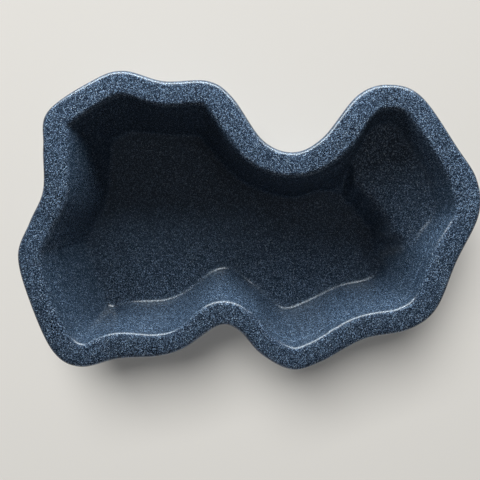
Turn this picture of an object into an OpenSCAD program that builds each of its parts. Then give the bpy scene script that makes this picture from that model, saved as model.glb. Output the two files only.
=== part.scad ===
// Free-form bonsai pot: an open basin with a wide overhanging rim, a raised
// shelf in its right-hand lobe, and four low feet.
// X runs along the length, Y across the width and Z up. Z = 0 is under the
// feet, and X = Y = 0 is the middle of the rim's outline.
// The pot is built from slabs, as a potter joins them before firing: a floor,
// four strips of wall, a rim band and the feet.

/* [Pot] */
// Length over the rim
pot_length = 320; // [270:1:400]
// Width over the rim
pot_width = 207; // [175:1:255]
// Height from the feet to the top of the rim
pot_height = 67; // [55:1:85]
// Sections cut between two stations of the outline
cuts = 4; // [2:1:6]

/* [Rim] */
// Width of the flat rim
rim_width = 17; // [13:0.5:21]
// Thickness of the rim at its overhanging edge
rim_thick = 8; // [6.5:0.5:11]
// Reach of the rounding along the upper outer edge
rim_round = 5.5; // [2:0.5:6]
// Reach of the rounding under the overhang
lip_round = 2; // [1:0.5:3]
// Reach of the rounding at the mouth
mouth_round = 3; // [1:0.5:3.5]

/* [Wall and floor] */
// Thickness of the wall, measured level
wall = 7; // [5.5:0.5:8.5]
// Thickness of the floor
floor_thick = 8; // [6.5:0.5:10]
// Reach of the rounding between the wall and the floor
cove = 4.5; // [2:0.5:5.5]
// Reach of the rounding under the outside edge of the wall
heel_round = 2.5; // [1:0.5:3]

/* [Shelf] */
// Depth of the back of the shelf below the rim
shelf_back = 21; // [17:1:24]
// Depth of the front edge of the shelf below the rim
shelf_front = 27; // [25:1:31]
// How far the wall above the shelf leans in
shelf_lean = 7.5; // [4:0.5:11]
// How far the drop in front of the shelf slopes
shelf_drop = 13; // [6:1:16]
// Reach of the rounding along the back of the shelf
back_round = 6; // [2:0.5:7]
// Reach of the rounding along the front of the shelf
front_round = 3.5; // [2:0.5:6]

/* [Joints] */
// Width of the tongue on top of the wall
tongue_width = 4; // [3:0.5:5]
// Height of the tongue on top of the wall
tongue_height = 3; // [2:0.5:4]
// Width of the wall's heel outside the step of the floor
heel_width = 4; // [3:0.5:5]
// Thickness of the step around the floor
step_thick = 4; // [3:0.5:5]
// How far the wall's toe reaches over the floor
toe_reach = 5.5; // [5:0.5:6]
// Gap around tongues, steps and sunk feet that the slip fills
slip_gap = 0.2; // [0.1:0.05:0.4]

/* [Feet] */
// Height of the feet under the floor
foot_height = 9; // [7:0.5:12]
// Length of a foot
foot_length = 38; // [30:1:48]
// Width of a foot
foot_width = 15; // [12:0.5:18]
// Depth of a foot's seat in the floor
foot_seat = 1.5; // [1:0.25:2.5]

/* [Hidden] */
$fn = 48;
round_steps = 3;
glaze = [0.12, 0.16, 0.23];
clay = [0.45, 0.36, 0.29];

// Stations round the outline, clockwise from the left side, each chosen by eye:
// the rim's edge in x and y, the floor's edge in x and y, how much of the shelf
// the wall has there, and how much wider than usual the rim is.
stations = [
    [-140, 52, -105, 50, 0, 2],
    [-136, 76, -101, 61, 0, 1],
    [-104, 97, -89, 67, 0, 0],
    [-83, 103, -80, 67, 0, 0],
    [-56, 96, -58, 65, 0, 0],
    [-26, 96, -37, 64, 0, 0],
    [-9, 85, -28, 56, 0, 2],
    [12, 56, -4, 31, 0, 1],
    [33, 48, 32, 18, 0, 0],
    [53, 58, 60, 23, 1, 1],
    [76, 86, 76, 12, 1, 2],
    [97, 93, 81, 11, 1, 0],
    [119, 85, 85, 5, 1, -1],
    [144, 51, 89, 0, 1, -1],
    [158, 29, 94, -7, 1, 2],
    [160, 5, 95, -17, 1, 0],
    [146, -27, 101, -30, 1, 1],
    [133, -60, 101, -42, 0, 0],
    [114, -75, 91, -48.5, 0, 0],
    [83, -82, 72, -53, 0, 0],
    [54, -98, 44, -66, 0, -1],
    [33, -104, 31, -70, 0, -1],
    [11, -93, 22, -66, 0, -2],
    [-5, -76, 3, -50, 0, -1],
    [-19, -73, -19, -39, 0, 0],
    [-43, -89, -46, -57, 0, -2],
    [-62, -95, -63, -64, 0, -1],
    [-90, -97, -89, -66, 0, 2],
    [-118, -103, -105, -69, 0, 0],
    [-137, -92, -112, -61, 0, 0],
    [-152, -58, -119, -40, 0, -2],
    [-160, -24, -124, -21, 0, 0],
    [-151, 0, -119, -5, 0, 0],
    [-141, 22, -108, 17, 0, 1]
];

// Stations at which the four strips of wall meet, clockwise
seam_back = 33;
seam_right = 9;
seam_front = 19;
seam_left = 28;

// Each foot's middle as shares of the half length and the half width, and the
// way it points in degrees
foot_at = [
    [-0.53, 0.44, 20],
    [-0.60, -0.43, -70],
    [0.27, -0.38, 35],
    [0.40, 0.03, -20]
];

// Levels
floor_top = foot_height + floor_thick;
step_top = foot_height + step_thick;
seat_level = pot_height - rim_thick;

// The outline: a smooth closed curve through the stations, fitted to the size
function station(i) = stations[(i + len(stations)) % len(stations)];

function between(a, b, c, d, t) =
    (2 * b + (c - a) * t + (2 * a - 5 * b + 4 * c - d) * t * t
        + (3 * b - a - 3 * c + d) * t * t * t) / 2;

rows = [for (i = [0 : len(stations) - 1], k = [0 : cuts - 1])
    between(station(i - 1), station(i), station(i + 1), station(i + 2), k / cuts)];
count = len(rows);

function column(c) = [for (r = rows) r[c]];
function middle(c) = (max(column(c)) + min(column(c))) / 2;
function span(c) = max(column(c)) - min(column(c));
centre = [middle(0), middle(1)];
fit_x = pot_length / span(0);
fit_y = pot_width / span(1);

function fitted(p) = [(p[0] - centre[0]) * fit_x, (p[1] - centre[1]) * fit_y];
edge = [for (r = rows) fitted([r[0], r[1]])];
basin = [for (r = rows) fitted([r[2], r[3]])];
shelf = [for (r = rows) min(1, max(0, r[4]))];
rim = [for (r = rows) rim_width + r[5]];

// Each section is cut along two lines: one in from the rim's edge to the mouth,
// and one from the mouth to the floor's edge. The first halves the angle between
// the square to the rim and the way to the floor. Distances along both are
// measured square to the rim.
turns = [for (i = [0 : count - 1]) i];
function unit(v) = v / norm(v);
function along(i) = unit(edge[(i + 1) % count] - edge[(i + count - 1) % count]);
square_in = [for (i = turns) [along(i)[1], -along(i)[0]]];
rim_in = [for (i = turns) unit(square_in[i] + unit(basin[i] - edge[i]))];
rim_step = [for (i = turns) rim_in[i] / (rim_in[i] * square_in[i])];
mouth_at = [for (i = turns) edge[i] + rim_step[i] * rim[i]];
wall_in = [for (i = turns) unit(basin[i] - mouth_at[i])];
wall_step = [for (i = turns) wall_in[i] / (wall_in[i] * square_in[i])];
run = [for (i = turns) rim[i] + (basin[i] - mouth_at[i]) * square_in[i]];

function on_rim(i, u) = edge[i] + rim_step[i] * u;
function on_wall(i, u) = mouth_at[i] + wall_step[i] * (u - rim[i]);
function place_rim(i, p) = concat(on_rim(i, p[0]), [p[1]]);
function place_wall(i, p) = concat(on_wall(i, p[0]), [p[1]]);

// Rounds the corner b between a and c with a true arc, never past the middle
// of either side
function corner(a, b, c, reach) =
    let (limit = 0.45 * min(norm(a - b), norm(c - b)))
    let (r = min(reach, limit))
    let (p = b + r * unit(a - b))
    let (q = b + r * unit(c - b))
    let (open = acos(max(-1, min(1, unit(a - b) * unit(c - b)))))
    let (pull = 2 * sin(open / 2))
    [for (k = [0 : round_steps])
        let (t = k / round_steps)
        let (s = 1 - t)
        (s * s * p + pull * s * t * b + t * t * q) / (s * s + pull * s * t + t * t)];

// The basin's inside line, as [distance in from the rim's edge, height]: the
// mouth, the shelf's back, its front edge and the floor's edge. Where there is
// no shelf the four lie on one straight slope. The front edge is never nearer
// the rim than the shelf's back.
function mix(a, b, t) = a + (b - a) * t;
function mouth(i) = [rim[i], pot_height];
function foot_of(i) = [run[i], floor_top];
function slope(i, z) =
    mix(mouth(i), foot_of(i), (pot_height - z) / (pot_height - floor_top));
function back_of(i) =
    let (z = pot_height - shelf_back)
    mix(slope(i, z), [rim[i] + shelf_lean, z], shelf[i]);
function front_of(i) =
    let (z = pot_height - shelf_front)
    mix(slope(i, z), [max(run[i] - shelf_drop, rim[i] + shelf_lean), z], shelf[i]);
function inside_at_seat(i) = mix(mouth(i), back_of(i), rim_thick / shelf_back);

// The outside follows the inside, a wall further out and a floor lower
shift_out = [-wall, -floor_thick];
function outside_top(i) = [rim[i] - wall, seat_level];
function tongue_middle(i) = (outside_top(i)[0] + inside_at_seat(i)[0]) / 2;

function wall_section(i) =
    let (top = outside_top(i))
    let (seat = inside_at_seat(i))
    let (mid = tongue_middle(i))
    let (half = tongue_width / 2)
    let (back = back_of(i))
    let (front = front_of(i))
    let (foot = foot_of(i))
    let (toe = foot + [toe_reach, 0])
    let (heel = foot + shift_out)
    let (heel_in = heel + [heel_width, 0])
    concat(
        [top, [mid - half, seat_level], [mid - half, seat_level + tongue_height],
            [mid + half, seat_level + tongue_height], [mid + half, seat_level], seat],
        corner(seat, back, front, back_round),
        corner(back, front, foot, front_round),
        corner(front, foot, foot + [2 * toe_reach, 0], cove),
        [toe, [toe[0], step_top], [heel_in[0], step_top], heel_in],
        corner(heel_in, heel, front + shift_out, heel_round),
        corner(heel, front + shift_out, back + shift_out, front_round),
        corner(front + shift_out, back + shift_out, top, back_round)
    );

function rim_section(i) =
    let (low = [0, seat_level])
    let (high = [0, pot_height])
    let (seat = inside_at_seat(i))
    let (mid = tongue_middle(i))
    let (half = tongue_width / 2 + slip_gap)
    let (groove_top = seat_level + tongue_height + slip_gap)
    let (round = concat(
        corner(outside_top(i), low, high, lip_round),
        corner(low, high, mouth(i), rim_round),
        corner(high, mouth(i), seat, mouth_round)))
    let (joint = [seat, [mid + half, seat_level], [mid + half, groove_top],
        [mid - half, groove_top], [mid - half, seat_level]])
    concat(
        [for (p = round) p[0] < rim[i] ? place_rim(i, p) : place_wall(i, p)],
        [for (p = joint) place_wall(i, p)]
    );

// The triangles that close one end of a strip of wall, by the places its points
// have in the section: 0 to 5 run over the tongue from the outside to the inside,
// then come the inside corners, the toe and its step, and the outside corners
corner_points = round_steps + 1;
inside_first = 6;
toe_point = inside_first + 3 * corner_points;
step_inner = toe_point + 2;
outside_last = step_inner + 1 + 3 * corner_points;
wall_end = concat(
    [[1, 2, 3], [1, 3, 4]],
    [for (pair = [[0, 1], [1, 4], [4, 5], [5, inside_first]])
        [outside_last, pair[0], pair[1]]],
    [for (k = [inside_first : toe_point - 2], side = [0, 1])
        let (over = outside_last + inside_first - k)
        side == 0 ? [over, k, k + 1] : [over, k + 1, over - 1]],
    [[step_inner, step_inner + 1, step_inner + 2],
        [step_inner, step_inner + 2, toe_point - 1],
        [step_inner, toe_point - 1, toe_point],
        [step_inner, toe_point, toe_point + 1]]
);

// Joins a list of equal rings of points into one solid, closed by its last ring
// meeting its first, or by the triangles given for its two ends
module loft(rings, end = []) {
    n = len(rings[0]);
    m = len(rings);
    last = len(end) == 0 ? m - 1 : m - 2;
    sides = [for (i = [0 : last], j = [0 : n - 1], side = [0, 1])
        let (a = i * n + j)
        let (b = i * n + (j + 1) % n)
        let (c = (i + 1) % m * n + (j + 1) % n)
        let (d = (i + 1) % m * n + j)
        side == 0 ? [a, c, b] : [a, d, c]];
    far = (m - 1) * n;
    polyhedron([for (r = rings, p = r) p],
        concat(sides, end, [for (t = end) [t[2] + far, t[1] + far, t[0] + far]]),
        convexity = 8);
}

// A strip of wall from one station to the next seam, clockwise
module wall_strip(from, to) {
    steps = ((to - from + len(stations)) % len(stations)) * cuts;
    color(glaze)
        loft([for (k = [0 : steps])
            let (i = (from * cuts + k) % count)
            [for (p = wall_section(i)) place_wall(i, p)]], wall_end);
}

module wall_left() wall_strip(seam_left, seam_back);
module wall_back() wall_strip(seam_back, seam_right);
module wall_right() wall_strip(seam_right, seam_front);
module wall_front() wall_strip(seam_front, seam_left);

module rim_band() {
    color(glaze)
        loft([for (i = turns) rim_section(i)]);
}

// The floor: a slab between the toes of the wall, on a wider step that carries them
module floor_slab() {
    color(clay)
        difference() {
            union() {
                translate([0, 0, foot_height])
                    linear_extrude(step_thick)
                        polygon([for (i = turns)
                            on_wall(i, run[i] - wall + heel_width + slip_gap)]);
                translate([0, 0, step_top])
                    linear_extrude(floor_thick - step_thick)
                        polygon([for (i = turns) on_wall(i, run[i] + toe_reach)]);
            }
            for (at = foot_at)
                foot_place(at)
                    translate([0, 0, foot_height - foot_seat])
                        bar(foot_length + 2 * slip_gap, foot_width + 2 * slip_gap,
                            2 * foot_seat);
        }
}

// A bar with round ends
module bar(length, width, height) {
    straight = length - width;
    translate([-straight / 2, -width / 2, 0])
        cube([straight, width, height]);
    for (side = [-1, 1])
        translate([side * straight / 2, 0, 0])
            cylinder(h = height, d = width);
}

module foot_place(at) {
    translate([at[0] * pot_length / 2, at[1] * pot_width / 2, 0])
        rotate(at[2])
            children();
}

module foot(at) {
    color(clay)
        foot_place(at)
            bar(foot_length, foot_width, foot_height + foot_seat);
}

floor_slab();
wall_left();
wall_back();
wall_right();
wall_front();
rim_band();
foot(foot_at[0]);  // foot_back_left
foot(foot_at[1]);  // foot_front_left
foot(foot_at[2]);  // foot_front_right
foot(foot_at[3]);  // foot_back_right
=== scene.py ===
import math

import bmesh
import bpy
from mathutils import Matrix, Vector


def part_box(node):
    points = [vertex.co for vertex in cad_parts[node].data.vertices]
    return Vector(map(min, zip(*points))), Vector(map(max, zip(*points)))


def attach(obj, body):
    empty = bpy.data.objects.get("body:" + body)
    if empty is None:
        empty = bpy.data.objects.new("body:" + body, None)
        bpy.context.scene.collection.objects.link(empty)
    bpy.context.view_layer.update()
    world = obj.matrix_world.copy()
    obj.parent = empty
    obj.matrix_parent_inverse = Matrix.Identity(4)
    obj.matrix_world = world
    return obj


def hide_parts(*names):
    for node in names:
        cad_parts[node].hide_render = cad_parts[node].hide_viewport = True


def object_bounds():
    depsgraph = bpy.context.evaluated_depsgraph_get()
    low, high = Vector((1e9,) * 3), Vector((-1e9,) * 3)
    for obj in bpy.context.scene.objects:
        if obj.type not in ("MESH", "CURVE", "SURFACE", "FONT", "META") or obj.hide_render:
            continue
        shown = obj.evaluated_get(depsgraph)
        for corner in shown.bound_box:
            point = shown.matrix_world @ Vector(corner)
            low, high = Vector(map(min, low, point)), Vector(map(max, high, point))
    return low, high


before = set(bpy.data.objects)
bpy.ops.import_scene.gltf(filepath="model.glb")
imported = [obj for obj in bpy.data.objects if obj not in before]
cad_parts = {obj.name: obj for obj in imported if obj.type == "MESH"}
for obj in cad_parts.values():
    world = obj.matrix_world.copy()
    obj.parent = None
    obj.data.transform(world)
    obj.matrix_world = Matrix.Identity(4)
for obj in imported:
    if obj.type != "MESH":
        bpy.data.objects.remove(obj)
cadLow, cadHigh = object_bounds()
print("frame loaded")

mm = 0.001
scene = bpy.context.scene

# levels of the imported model
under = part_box("floor_slab")[0].z
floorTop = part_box("floor_slab")[1].z
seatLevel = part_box("rim_band")[0].z
potTop = cadHigh.z

outline = {"length": cadHigh.x - cadLow.x, "width": cadHigh.y - cadLow.y, "cuts": 12}

# clockwise from the left side: rim edge x and y, floor edge x and y, share of the
# shelf, extra width of the rim. They are in mm, then fitted to the length and width
stations = [
    (-140, 52, -105, 50, 0, 2), (-136, 76, -101, 61, 0, 1), (-104, 97, -89, 67, 0, 0),
    (-83, 103, -80, 67, 0, 0), (-56, 96, -58, 65, 0, 0), (-26, 96, -37, 64, 0, 0),
    (-9, 85, -28, 56, 0, 2), (12, 56, -4, 31, 0, 1), (33, 48, 32, 18, 0, 0),
    (53, 58, 60, 23, 1, 1), (76, 86, 76, 12, 1, 2), (97, 93, 81, 11, 1, 0),
    (119, 85, 85, 5, 1, -1), (144, 51, 89, 0, 1, -1), (158, 29, 94, -7, 1, 2),
    (160, 5, 95, -17, 1, 0), (146, -27, 101, -30, 1, 1), (133, -60, 101, -42, 0, 0),
    (114, -75, 91, -48.5, 0, 0), (83, -82, 72, -53, 0, 0), (54, -98, 44, -66, 0, -1),
    (33, -104, 31, -70, 0, -1), (11, -93, 22, -66, 0, -2), (-5, -76, 3, -50, 0, -1),
    (-19, -73, -19, -39, 0, 0), (-43, -89, -46, -57, 0, -2), (-62, -95, -63, -64, 0, -1),
    (-90, -97, -89, -66, 0, 2), (-118, -103, -105, -69, 0, 0), (-137, -92, -112, -61, 0, 0),
    (-152, -58, -119, -40, 0, -2), (-160, -24, -124, -21, 0, 0), (-151, 0, -119, -5, 0, 0),
    (-141, 22, -108, 17, 0, 1),
]

rimBand = {"width": 17 * mm, "edgeRound": 5.5 * mm, "lipRound": 2 * mm, "mouthRound": 3 * mm,
           "arcSteps": 6}


# a smooth curve from b at t = 0 to c at t = 1
def between(a, b, c, d, t):
    return (2 * b + (c - a) * t + (2 * a - 5 * b + 4 * c - d) * t ** 2
            + (3 * b - a - 3 * c + d) * t ** 3) / 2


def curveRows():
    rows = []
    total = len(stations)
    for index in range(total):
        near = [stations[(index + k) % total] for k in (-1, 0, 1, 2)]
        for cut in range(outline["cuts"]):
            rows.append([between(*column, cut / outline["cuts"]) for column in zip(*near)])
    return rows


# everything a section needs: where it starts, the two lines it follows, how far
# in the floor's edge lies and how much shelf it has
def layOutSections():
    rows = curveRows()
    low = [min(row[c] for row in rows) for c in (0, 1)]
    high = [max(row[c] for row in rows) for c in (0, 1)]
    fit = [outline["length"] / (high[0] - low[0]), outline["width"] / (high[1] - low[1])]
    middle = [(high[c] + low[c]) / 2 for c in (0, 1)]
    edge = [Vector([(row[c] - middle[c]) * fit[c] for c in (0, 1)]) for row in rows]
    basin = [Vector([(row[c + 2] - middle[c]) * fit[c] for c in (0, 1)]) for row in rows]
    sections = []
    for index, row in enumerate(rows):
        rim = rimBand["width"] + row[5] * mm
        ahead = edge[(index + 1) % len(rows)] - edge[index - 1]
        squareIn = Vector((ahead.y, -ahead.x)).normalized()
        rimIn = (squareIn + (basin[index] - edge[index]).normalized()).normalized()
        rimStep = rimIn / rimIn.dot(squareIn)
        mouthAt = edge[index] + rimStep * rim
        wallIn = (basin[index] - mouthAt).normalized()
        sections.append({
            "edge": edge[index], "rimStep": rimStep, "mouthAt": mouthAt, "rim": rim,
            "wallStep": wallIn / wallIn.dot(squareIn),
            "run": rim + (basin[index] - mouthAt).dot(squareIn),
            "shelf": min(1, max(0, row[4])),
        })
    return sections


def onRim(section, point):
    place = section["edge"] + section["rimStep"] * point.x
    return Vector((place.x, place.y, point.y))


def onWall(section, point):
    place = section["mouthAt"] + section["wallStep"] * (point.x - section["rim"])
    return Vector((place.x, place.y, point.y))


cornerShare = 0.45  # the most of either side that a rounding takes


# a true arc across the corner b between a and c
def corner(a, b, c, reach, steps):
    reach = min(reach, cornerShare * min((a - b).length, (c - b).length))
    p = b + (a - b).normalized() * reach
    q = b + (c - b).normalized() * reach
    pull = 2 * math.sin((a - b).angle(c - b) / 2)
    points = []
    for step in range(steps + 1):
        t = step / steps
        s = 1 - t
        points.append((p * s * s + b * pull * s * t + q * t * t)
                      / (s * s + pull * s * t + t * t))
    return points


wallStrip = {"thick": 7 * mm, "floorThick": 8 * mm, "cove": 4.5 * mm, "heelRound": 2.5 * mm,
             "arcSteps": 5}
shelfPart = {"back": 21 * mm, "front": 27 * mm, "lean": 7.5 * mm, "drop": 13 * mm,
             "backRound": 6 * mm, "frontRound": 3.5 * mm}
joints = {"tongueWidth": 4 * mm, "tongueHeight": 3 * mm, "heelWidth": 4 * mm, "step": 4 * mm,
          "toe": 5.5 * mm, "gap": 0.2 * mm}


# the inside from the mouth to the floor, with the shelf's two edges on the way
def insideLine(section):
    rim, run = section["rim"], section["run"]
    mouth = Vector((rim, potTop))
    footEnd = Vector((run, floorTop))
    backZ = potTop - shelfPart["back"]
    frontZ = potTop - shelfPart["front"]
    backSlope = mouth.lerp(footEnd, (potTop - backZ) / (potTop - floorTop))
    frontSlope = mouth.lerp(footEnd, (potTop - frontZ) / (potTop - floorTop))
    back = backSlope.lerp(Vector((rim + shelfPart["lean"], backZ)), section["shelf"])
    frontIn = max(run - shelfPart["drop"], rim + shelfPart["lean"])
    front = frontSlope.lerp(Vector((frontIn, frontZ)), section["shelf"])
    return mouth, back, front, footEnd


# where the wall meets the rim: its top outside and inside, and the tongue's middle
def jointPoints(section):
    mouth, back = insideLine(section)[:2]
    seat = mouth.lerp(back, (potTop - seatLevel) / shelfPart["back"])
    outsideTop = Vector((section["rim"] - wallStrip["thick"], seatLevel))
    return outsideTop, seat, (outsideTop.x + seat.x) / 2


def wallPoints(section):
    mouth, back, front, footEnd = insideLine(section)
    outsideTop, seat, middle = jointPoints(section)
    half = joints["tongueWidth"] / 2
    tongueTop = seatLevel + joints["tongueHeight"]
    out = Vector((-wallStrip["thick"], -wallStrip["floorThick"]))
    toe = footEnd + Vector((joints["toe"], 0))
    toward = footEnd + Vector((2 * joints["toe"], 0))
    heel = footEnd + out
    heelIn = heel + Vector((joints["heelWidth"], 0))
    stepTop = under + joints["step"]
    arc = wallStrip["arcSteps"]
    points = [outsideTop, Vector((middle - half, seatLevel)), Vector((middle - half, tongueTop)),
              Vector((middle + half, tongueTop)), Vector((middle + half, seatLevel)), seat]
    points += corner(seat, back, front, shelfPart["backRound"], arc)
    points += corner(back, front, footEnd, shelfPart["frontRound"], arc)
    points += corner(front, footEnd, toward, wallStrip["cove"], arc)
    points += [toe, Vector((toe.x, stepTop)), Vector((heelIn.x, stepTop)), heelIn]
    points += corner(heelIn, heel, front + out, wallStrip["heelRound"], arc)
    points += corner(heel, front + out, back + out, shelfPart["frontRound"], arc)
    points += corner(front + out, back + out, outsideTop, shelfPart["backRound"], arc)
    return [onWall(section, point) for point in points]


def rimPoints(section):
    mouth = insideLine(section)[0]
    outsideTop, seat, middle = jointPoints(section)
    low = Vector((0, seatLevel))
    high = Vector((0, potTop))
    half = joints["tongueWidth"] / 2 + joints["gap"]
    grooveTop = seatLevel + joints["tongueHeight"] + joints["gap"]
    arc = rimBand["arcSteps"]
    top = corner(outsideTop, low, high, rimBand["lipRound"], arc)
    top += corner(low, high, mouth, rimBand["edgeRound"], arc)
    top += corner(high, mouth, seat, rimBand["mouthRound"], arc)
    joint = [seat, Vector((middle + half, seatLevel)), Vector((middle + half, grooveTop)),
             Vector((middle - half, grooveTop)), Vector((middle - half, seatLevel))]
    placed = [onRim(section, p) if p.x < section["rim"] else onWall(section, p) for p in top]
    return placed + [onWall(section, p) for p in joint]


def edgesOf(ring):
    edges = []
    for index, vertex in enumerate(ring):
        other = ring[index - 1]
        edges.append(next(e for e in vertex.link_edges if e.other_vert(vertex) == other))
    return edges


def extrudeRing(mesh, ring, places):
    made = bmesh.ops.extrude_edge_only(mesh, edges=edgesOf(ring))["geom"]
    fresh = {item for item in made if isinstance(item, bmesh.types.BMVert)}
    following = []
    for vertex, place in zip(ring, places):
        partner = next(e.other_vert(vertex) for e in vertex.link_edges
                       if e.other_vert(vertex) in fresh)
        partner.co = place
        following.append(partner)
    return following


def ringAt(mesh, places):
    ring = bmesh.ops.create_circle(mesh, segments=len(places), radius=1)["verts"]
    for vertex, place in zip(ring, places):
        vertex.co = place
    return ring


# a section carried along the outline, closed on itself or at its two ends
def sweep(mesh, rings, closed):
    first = ringAt(mesh, rings[0])
    ring = first
    for places in rings[1:] + (rings[:1] if closed else []):
        ring = extrudeRing(mesh, ring, places)
    if closed:
        bmesh.ops.weld_verts(mesh, targetmap=dict(zip(ring, first)))
    else:
        bmesh.ops.contextual_create(mesh, geom=edgesOf(first))
        bmesh.ops.contextual_create(mesh, geom=edgesOf(ring))


def addObject(name, data):
    made = bpy.data.objects.new(name, data)
    scene.collection.objects.link(made)
    return made


def meshObject(name, mesh):
    data = bpy.data.meshes.new(name)
    mesh.to_mesh(data)
    mesh.free()
    return addObject(name, data)


sharpAngle = 38  # degrees, from which an edge isn't shaded smooth

# the least and the most steepness that the glaze is given on each piece, which sets how much of
# the glaze-run tone, with its painted sheen and painted shade, it gets
steepRange = {"rim_band": (0, 1), "floor_slab": (0.08, 0.08), "others": (0.25, 1)}


def finishPiece(name, mesh, material):
    bmesh.ops.recalc_face_normals(mesh, faces=mesh.faces[:])
    for face in mesh.faces:
        face.smooth = True
    piece = meshObject(name, mesh)
    piece.data.set_sharp_from_angle(angle=math.radians(sharpAngle))
    least, most = steepRange.get(name, steepRange["others"])
    steep = piece.data.attributes.new("steep", "FLOAT", "POINT")
    for vertex, item in zip(piece.data.vertices, steep.data):
        item.value = min(most, max(least, 1 - abs(vertex.normal.z)))
    piece.data.materials.append(material)
    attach(piece, "root")
    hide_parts(name)


# links a socket or sets a value, with colours given as red, green and blue
def feed(tree, made, inputs):
    for key, value in inputs.items():
        socket = made.inputs[key]
        if isinstance(value, bpy.types.NodeSocket):
            tree.links.new(value, socket)
        else:
            socket.default_value = (*value, 1) if socket.type == "RGBA" else value


def node(tree, kind, inputs, **settings):
    made = tree.nodes.new(kind)
    for key, value in settings.items():
        setattr(made, key, value)
    feed(tree, made, inputs)
    return made


# grey, from the least to white between two values
def ramp(tree, value, stops, least=0):
    made = node(tree, "ShaderNodeValToRGB", {"Fac": value})
    for point, position, shade in zip(made.color_ramp.elements, stops, (least, 1)):
        point.position = position
        point.color = (shade, shade, shade, 1)
    return made.outputs["Color"]


# sockets 0, 6 and 7 of a colour mix are its factor and its two colours
def mixed(tree, factor, a, b):
    return node(tree, "ShaderNodeMix", {0: factor, 6: a, 7: b}, data_type="RGBA").outputs[2]


def combine(tree, operation, a, b, limited=False):
    return node(tree, "ShaderNodeMath", {0: a, 1: b}, operation=operation,
                use_clamp=limited).outputs[0]


def vectorMath(tree, operation, inputs):
    return node(tree, "ShaderNodeVectorMath", inputs, operation=operation).outputs[0]


def mapped(tree, value, low, high, atLow, atHigh):
    return node(tree, "ShaderNodeMapRange", {"Value": value, "From Min": low, "From Max": high,
                                             "To Min": atLow, "To Max": atHigh}).outputs[0]


def noise(tree, where, scale, detail, output="Fac"):
    return node(tree, "ShaderNodeTexNoise", {"Vector": where, "Scale": scale,
                                             "Detail": detail}).outputs[output]


def bump(tree, strength, distance, inputs):
    return node(tree, "ShaderNodeBump", {"Strength": strength, "Distance": distance,
                                         **inputs}).outputs[0]


def newMaterial(name):
    made = bpy.data.materials.new(name)
    made.use_nodes = True
    return made, made.node_tree, made.node_tree.nodes["Principled BSDF"]


def objectPlace(tree):
    return node(tree, "ShaderNodeTexCoord", {}).outputs["Object"]


# a Noise pair is scale and detail, Stops are where a ramp starts and ends, and
# Bump is strength and depth. Specks have a scale in cells to the metre, a size as a
# share of a cell, and the share of the cells that hold one
glazeLook = {
    "deep": (0.006, 0.011, 0.022), "navy": (0.012, 0.022, 0.042), "rough": 0.26,
    "cloudNoise": (28, 3), "cloudStops": (0.35, 0.65),
    "crowdNoise": (60, 3), "crowdStops": (0.3, 0.7), "crowdLeast": 0.8,
    "fine": {"scale": 2700, "size": 0.44, "share": 0.6}, "fineSpeck": (0.19, 0.27, 0.39),
    "coarse": {"scale": 1600, "size": 0.42, "share": 0.56}, "speck": (0.29, 0.40, 0.57),
    "white": (0.62, 0.74, 0.88), "whiteStops": (0.78, 0.95),
    # the tone for steep faces: glaze run, and partly painted sheen and painted shade
    "sunk": (0.0172, 0.0288, 0.047), "sunkShare": 0.6, "sunkSteep": 0.4,
    # a lighter tone low on the floor, stronger towards the back
    "floorTone": (0.030, 0.045, 0.066), "floorToneShare": 0.5, "floorToneHeight": 3 * mm,
    "floorToneFront": -60 * mm, "floorToneBack": 0,
    "bareHeight": 3 * mm, "bareNoise": (45, 2), "bareWave": 6 * mm,
    "peelBump": (0.3, 0.3 * mm), "peelNoise": (380, 2),
    "waveBump": (0.4, 1 * mm), "waveNoise": (60, 1), "grainBump": (0.2, 0.1 * mm),
}
clayLook = {
    "body": (0.20, 0.145, 0.105), "dark": (0.10, 0.070, 0.052), "rough": 0.85,
    "patchNoise": (70, 3), "grog": (0.36, 0.29, 0.22), "heelNoise": (900, 2),
    "heelStops": (0.45, 0.62), "grains": {"scale": 900, "size": 0.4, "share": 0.3},
    "grainBump": (0.6, 0.3 * mm), "grainNoise": (1100, 3),
}
speckShape = {"bendScale": 2.2, "bend": 0.5, "least": 0.45, "edge": 9}


# spots of uneven size, one to a cell, in a share of the cells, with a value of
# its own for each cell
def specks(tree, where, scale, size, share):
    bent = noise(tree, where, scale * speckShape["bendScale"], 1, "Color")
    bent = vectorMath(tree, "SUBTRACT", {0: bent, 1: (0.5, 0.5, 0.5)})
    bent = vectorMath(tree, "SCALE", {0: bent, "Scale": speckShape["bend"] / scale})
    place = vectorMath(tree, "ADD", {0: where, 1: bent})
    cells = node(tree, "ShaderNodeTexVoronoi", {"Vector": place, "Scale": scale})
    pick = node(tree, "ShaderNodeSeparateColor", {"Color": cells.outputs["Color"]})
    chosen = combine(tree, "LESS_THAN", pick.outputs[0], share)
    reach = combine(tree, "MULTIPLY", pick.outputs[1], size)
    reach = combine(tree, "ADD", reach, size * speckShape["least"])
    inside = combine(tree, "SUBTRACT", reach, cells.outputs["Distance"])
    soft = combine(tree, "MULTIPLY", inside, speckShape["edge"], True)
    return combine(tree, "MULTIPLY", soft, chosen), pick.outputs[2]


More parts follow.
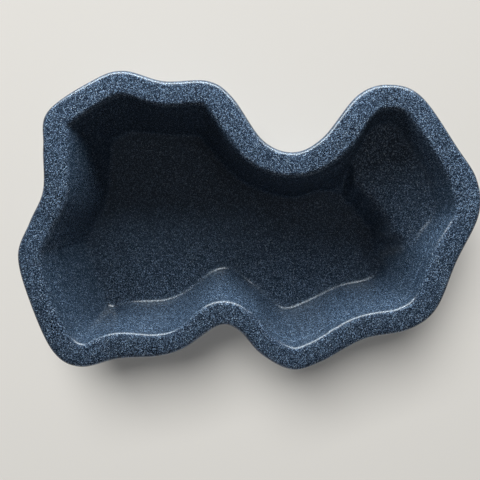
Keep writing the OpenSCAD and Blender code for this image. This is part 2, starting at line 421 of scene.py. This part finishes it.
def glazeMaterial():
    made, tree, shader = newMaterial("glaze")
    where = objectPlace(tree)
    cloud = ramp(tree, noise(tree, where, *glazeLook["cloudNoise"]), glazeLook["cloudStops"])
    base = mixed(tree, cloud, glazeLook["deep"], glazeLook["navy"])
    crowd = ramp(tree, noise(tree, where, *glazeLook["crowdNoise"]), glazeLook["crowdStops"],
                 glazeLook["crowdLeast"])
    fine, _ = specks(tree, where, **glazeLook["fine"])
    colour = mixed(tree, combine(tree, "MULTIPLY", fine, crowd), base, glazeLook["fineSpeck"])
    coarse, tone = specks(tree, where, **glazeLook["coarse"])
    bright = mixed(tree, ramp(tree, tone, glazeLook["whiteStops"]), glazeLook["speck"],
                   glazeLook["white"])
    colour = mixed(tree, combine(tree, "MULTIPLY", coarse, crowd), colour, bright)

    # on steep faces the glaze has run and the specks lie deeper in it. The same mid-blue tone is
    # partly painted sheen on the walls and painted shade on the shelf, and the walls and the
    # floor always get some of it
    steep = node(tree, "ShaderNodeAttribute", {}, attribute_name="steep").outputs["Fac"]
    runSheenShadeMask = mapped(tree, steep, 0, glazeLook["sunkSteep"], 0, glazeLook["sunkShare"])
    colour = mixed(tree, runSheenShadeMask, colour, glazeLook["sunk"])

    # lighter, with fainter specks, low on the floor, and more so towards the back
    place = node(tree, "ShaderNodeSeparateXYZ", {"Vector": where}).outputs
    height = place["Z"]
    low = mapped(tree, height, floorTop, floorTop + glazeLook["floorToneHeight"],
                 glazeLook["floorToneShare"], 0)
    backward = mapped(tree, place["Y"], glazeLook["floorToneFront"], glazeLook["floorToneBack"], 0, 1)
    colour = mixed(tree, combine(tree, "MULTIPLY", low, backward), colour, glazeLook["floorTone"])

    # it stops a little above the wall's foot and leaves the clay bare
    wavy = combine(tree, "SUBTRACT", noise(tree, where, *glazeLook["bareNoise"]), 0.5)
    wavy = combine(tree, "MULTIPLY", wavy, glazeLook["bareWave"])
    level = combine(tree, "ADD", height, wavy)
    bare = combine(tree, "LESS_THAN", level, under + glazeLook["bareHeight"])
    grains = ramp(tree, noise(tree, where, *clayLook["heelNoise"]), clayLook["heelStops"])
    colour = mixed(tree, bare, colour, mixed(tree, grains, clayLook["body"], clayLook["grog"]))

    normal = bump(tree, *glazeLook["peelBump"], {
        "Height": noise(tree, where, *glazeLook["peelNoise"])})
    normal = bump(tree, *glazeLook["waveBump"], {
        "Height": noise(tree, where, *glazeLook["waveNoise"]), "Normal": normal})
    normal = bump(tree, *glazeLook["grainBump"], {"Height": coarse, "Normal": normal})
    feed(tree, shader, {
        "Base Color": colour,
        "Roughness": mapped(tree, bare, 0, 1, glazeLook["rough"], clayLook["rough"]),
        "Normal": normal,
    })
    return made


def clayMaterial():
    made, tree, shader = newMaterial("clay")
    where = objectPlace(tree)
    patches = mixed(tree, noise(tree, where, *clayLook["patchNoise"]), clayLook["dark"],
                    clayLook["body"])
    grains, _ = specks(tree, where, **clayLook["grains"])
    feed(tree, shader, {
        "Base Color": mixed(tree, grains, patches, clayLook["grog"]),
        "Roughness": clayLook["rough"],
        "Normal": bump(tree, *clayLook["grainBump"], {
            "Height": noise(tree, where, *clayLook["grainNoise"])}),
    })
    return made


glaze = glazeMaterial()
clay = clayMaterial()
print("materials made")

sections = layOutSections()

# the rim band, one closed sweep
mesh = bmesh.new()
sweep(mesh, [rimPoints(section) for section in sections], True)
finishPiece("rim_band", mesh, glaze)
print("rim band made")

# the wall in four strips, each from one station to another
strips = {"wall_back": (33, 9), "wall_right": (9, 19), "wall_front": (19, 28),
          "wall_left": (28, 33)}
for name, (start, end) in strips.items():
    steps = ((end - start) % len(stations)) * outline["cuts"]
    picked = [sections[(start * outline["cuts"] + k) % len(sections)] for k in range(steps + 1)]
    mesh = bmesh.new()
    sweep(mesh, [wallPoints(section) for section in picked], False)
    finishPiece(name, mesh, glaze)
print("wall strips made")

foot = {"length": 38 * mm, "width": 15 * mm, "seat": 1.5 * mm, "arcSteps": 16,
        "restRound": 1.2 * mm, "restSteps": 4}

# how far from the middle along and across, as shares of half the pot, and the turn
# in degrees
footPlaces = {
    "foot_back_left": (-0.53, 0.44, 20),
    "foot_front_left": (-0.60, -0.43, -70),
    "foot_front_right": (0.27, -0.38, 35),
    "foot_back_right": (0.40, 0.03, -20),
}


# a foot's outline, a bar with round ends, anticlockwise
def barLoop(place, grow, z):
    middle = Vector((place[0] * outline["length"] / 2, place[1] * outline["width"] / 2))
    turn = math.radians(place[2])
    radius = foot["width"] / 2 + grow
    straight = (foot["length"] - foot["width"]) / 2
    loop = []
    for side in (1, -1):
        centre = middle + Vector((math.cos(turn), math.sin(turn))) * straight * side
        for step in range(foot["arcSteps"] + 1):
            angle = turn + math.pi * (step / foot["arcSteps"] - side / 2)
            loop.append(Vector((centre.x + radius * math.cos(angle),
                                centre.y + radius * math.sin(angle), z)))
    return loop


# the floor: the step's outline, the floor's outline above it, seats cut below
mesh = bmesh.new()
stepIn = joints["heelWidth"] + joints["gap"] - wallStrip["thick"]
stepLoop = [onWall(s, Vector((s["run"] + stepIn, under))) for s in sections]
topLoop = [onWall(s, Vector((s["run"] + joints["toe"], floorTop))) for s in sections]
stepTop = under + joints["step"]
lowest = ringAt(mesh, stepLoop)
ring = extrudeRing(mesh, lowest, [Vector((p.x, p.y, stepTop)) for p in stepLoop])
ring = extrudeRing(mesh, ring, [Vector((p.x, p.y, stepTop)) for p in topLoop])
ring = extrudeRing(mesh, ring, topLoop)
bmesh.ops.contextual_create(mesh, geom=edgesOf(ring))
underEdges = edgesOf(lowest)
for place in footPlaces.values():
    seatRing = ringAt(mesh, barLoop(place, joints["gap"], under))
    underEdges += edgesOf(seatRing)
    roof = extrudeRing(mesh, seatRing, barLoop(place, joints["gap"], under + foot["seat"]))
    bmesh.ops.contextual_create(mesh, geom=edgesOf(roof))
bmesh.ops.triangle_fill(mesh, edges=underEdges, use_beauty=True)
finishPiece("floor_slab", mesh, glaze)
print("floor made")

# the feet, from the rounded edge they rest on up into their seats
for name, place in footPlaces.items():
    mesh = bmesh.new()
    rest = foot["restRound"]
    ring = ringAt(mesh, barLoop(place, -rest, 0))
    bmesh.ops.contextual_create(mesh, geom=edgesOf(ring))
    for step in range(1, foot["restSteps"] + 1):
        angle = math.pi / 2 * step / foot["restSteps"]
        ring = extrudeRing(mesh, ring, barLoop(place, -rest * (1 - math.sin(angle)),
                                               rest * (1 - math.cos(angle))))
    for z in (under, under + foot["seat"]):
        ring = extrudeRing(mesh, ring, barLoop(place, 0, z))
    bmesh.ops.contextual_create(mesh, geom=edgesOf(ring))
    finishPiece(name, mesh, clay)
print("feet made")

# the ground, a sheet of pale paper
paperLook = {"halfWidth": 3, "colour": (0.62, 0.61, 0.585), "glow": (1, 0.98, 0.94),
             "glowStrength": 0.10}
mesh = bmesh.new()
bmesh.ops.create_grid(mesh, x_segments=1, y_segments=1, size=paperLook["halfWidth"])
ground = meshObject("ground", mesh)
paper, tree, shader = newMaterial("paper")
feed(tree, shader, {
    "Base Color": paperLook["colour"], "Roughness": 1, "Specular IOR Level": 0,
    "Emission Color": paperLook["glow"], "Emission Strength": paperLook["glowStrength"],
})
ground.data.materials.append(paper)

# a dim light all round, and a pale backdrop that is seen but gives no light
worldLook = {"light": (0.95, 0.97, 1.0), "strength": 0.05, "backdrop": (0.60, 0.61, 0.60)}
world = scene.world or bpy.data.worlds.new("world")
scene.world = world
world.use_nodes = True
tree = world.node_tree
around = tree.nodes["Background"]
feed(tree, around, {"Color": worldLook["light"], "Strength": worldLook["strength"]})
backdrop = node(tree, "ShaderNodeBackground", {"Color": worldLook["backdrop"]})
seen = node(tree, "ShaderNodeLightPath", {}).outputs["Is Camera Ray"]
either = node(tree, "ShaderNodeMixShader", {0: seen, 1: around.outputs[0],
                                            2: backdrop.outputs[0]})
feed(tree, tree.nodes["World Output"], {"Surface": either.outputs[0]})

# four lamps light the pot and one, the sky, lights the ground evenly. Only the key
# is mirrored in the glaze, and the low one lies below the rim, so it reaches only
# the outside. Metres and watts
lamps = {
    "key": {"place": (-0.03, 0.58, 0.25), "aim": (0, 0, 0.04), "size": (1.10, 0.27),
            "power": 14.8, "colour": (0.87, 0.96, 1.0), "mirrored": True},
    "top": {"place": (0.25, 0.25, 0.90), "aim": (0, 0, 0.04), "size": (0.40, 0.40),
            "power": 0.85, "colour": (1.0, 0.97, 0.92)},
    "front": {"place": (0, -0.80, 0.40), "aim": (0, 0, 0.04), "size": (1.20, 0.50),
              "power": 0.9, "colour": (1.0, 0.95, 0.88)},
    "sky": {"place": (-0.6, 1.8, 2.6), "aim": (0, 0, 0), "size": (2.0, 2.0),
            "power": 135, "colour": (1.0, 0.99, 0.97), "forGround": True},
    "low": {"place": (0, -0.70, 0.03), "aim": (0, 0, 0.03), "size": (1.30, 0.06),
            "power": 4.0, "colour": (0.95, 0.98, 1.0)},
}


def areaLamp(name, place, aim, size, power, colour, mirrored=False, forGround=False):
    lamp = bpy.data.lights.new(name, "AREA")
    lamp.shape = "RECTANGLE"
    lamp.size, lamp.size_y = size
    lamp.energy = power
    lamp.color = colour
    holder = addObject(name, lamp)
    holder.location = place
    holder.rotation_euler = (Vector(aim) - Vector(place)).to_track_quat("-Z", "Y").to_euler()
    holder.visible_camera = False
    holder.visible_glossy = mirrored
    reached = bpy.data.collections.new(name + "Reaches")
    reached.objects.link(ground)
    if not forGround:
        reached.collection_objects[0].light_linking.link_state = "EXCLUDE"
    holder.light_linking.receiver_collection = reached


for name, look in lamps.items():
    areaLamp(name, **look)

# the camera looks down into the basin, from a place in metres from the middle of
# the top, tilted by a few degrees
cameraLook = {"lens": 41.03, "sensor": 36, "near": 0.01, "aside": (0.00399, 0.01869),
              "above": 0.37487, "tilt": (-4.6, 1.257)}
camera = bpy.data.cameras.new("camera")
camera.lens = cameraLook["lens"]
camera.sensor_width = cameraLook["sensor"]
camera.clip_start = cameraLook["near"]
viewer = addObject("camera", camera)
viewer.location = (*cameraLook["aside"], potTop + cameraLook["above"])
viewer.rotation_euler = (*map(math.radians, cameraLook["tilt"]), 0)
bpy.context.scene.camera = viewer
bpy.context.scene.view_settings.view_transform = "Standard"
print("stage set")
